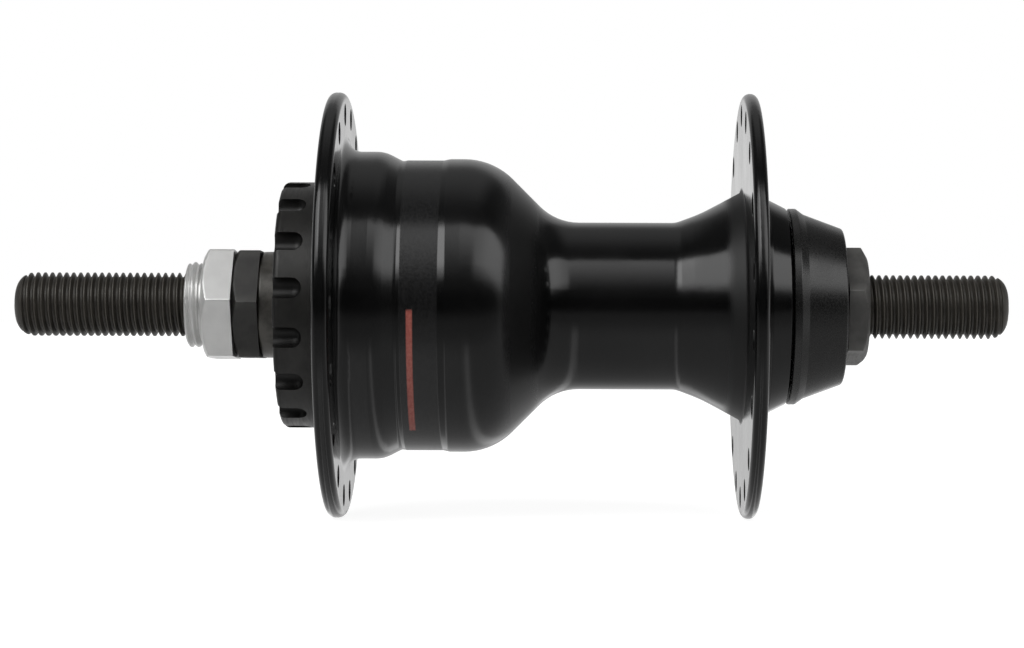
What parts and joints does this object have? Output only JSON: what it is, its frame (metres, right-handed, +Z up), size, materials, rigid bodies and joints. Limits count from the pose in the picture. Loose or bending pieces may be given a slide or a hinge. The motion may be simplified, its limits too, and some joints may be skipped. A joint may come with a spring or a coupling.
{
  "type": "bicycle front hub",
  "caption": "Bicycle front hub for a roller brake: two spoke flanges, a domed barrel with a slipping splined brake driver, and a threaded axle with nuts.",
  "frame": {"origin": "middle of the axle, on its axis, midway between the fork's inner faces", "axes": "+Y along the axle to the brake side, +Z up, +X forward"},
  "size_m": [0.06, 0.14, 0.06],
  "materials": {
    "shell_paint": "gloss black stove enamel on a turned aluminium shell",
    "driver_steel": "satin black phosphated steel",
    "black_oxide_steel": "brown-black oxide on rolled thread and turned steel",
    "black_nut_steel": "dark grey phosphated steel, slightly worn corners",
    "zinc_steel": "bright zinc plate",
    "bearing_steel": "ground and hardened steel",
    "ball_steel": "polished steel",
    "retainer_steel": "plain pressed steel",
    "plate_steel": "plain rolled steel, oiled",
    "cover_steel": "black phosphated steel",
    "friction_lining": "brown friction lining",
    "bronze": "sintered bronze",
    "seal_rubber": "matt black rubber",
    "black_plastic": "satin black moulded plastic"
  },
  "bodies": {
    "axle_set": {"axle": "black_oxide_steel", "left_cone": "black_oxide_steel", "left_lock_nut": "black_nut_steel", "brake_fixing_nut": "zinc_steel", "right_cone": "bearing_steel", "right_dust_cap": "black_plastic", "right_lock_washer": "black_nut_steel", "right_lock_nut": "black_nut_steel"},
    "hub": {"hub_shell": "shell_paint", "right_cup": "bearing_steel", "right_seal": "seal_rubber", "outer_plate_1": "plate_steel", "outer_plate_2": "plate_steel", "outer_plate_3": "plate_steel", "outer_plate_4": "plate_steel", "disc_spring_1": "plate_steel", "disc_spring_2": "plate_steel", "clutch_cover": "cover_steel", "cover_bush": "bronze", "neck_bush": "bronze", "cover_seal": "seal_rubber"},
    "driver": {"brake_driver": "driver_steel", "inner_plate_1": "friction_lining", "inner_plate_2": "friction_lining", "inner_plate_3": "friction_lining", "left_cup": "bearing_steel", "left_seal": "seal_rubber", "driver_circlip": "plate_steel"},
    "left_cage": {"left_ball_retainer": "retainer_steel", "left_balls": "ball_steel"},
    "right_cage": {"right_ball_retainer": "retainer_steel", "right_balls": "ball_steel"}
  },
  "joints": [
    {"name": "hub_spin", "type": "hinge", "parent": "axle_set", "child": "hub", "pos_m": [0, 0, 0], "axis": [0, 1, 0], "continuous": true},
    {"name": "driver_slip", "type": "hinge", "parent": "hub", "child": "driver", "pos_m": [0, 0, 0], "axis": [0, 1, 0], "continuous": true},
    {"name": "left_cage_spin", "type": "hinge", "parent": "axle_set", "child": "left_cage", "pos_m": [0, 0, 0], "axis": [0, 1, 0], "continuous": true},
    {"name": "right_cage_spin", "type": "hinge", "parent": "axle_set", "child": "right_cage", "pos_m": [0, 0, 0], "axis": [0, 1, 0], "continuous": true}
  ],
  "couplings": [
    {"joint": "left_cage_spin", "follows": "hub_spin", "ratio": 0.6027},
    {"joint": "right_cage_spin", "follows": "hub_spin", "ratio": 0.6027}
  ]
}
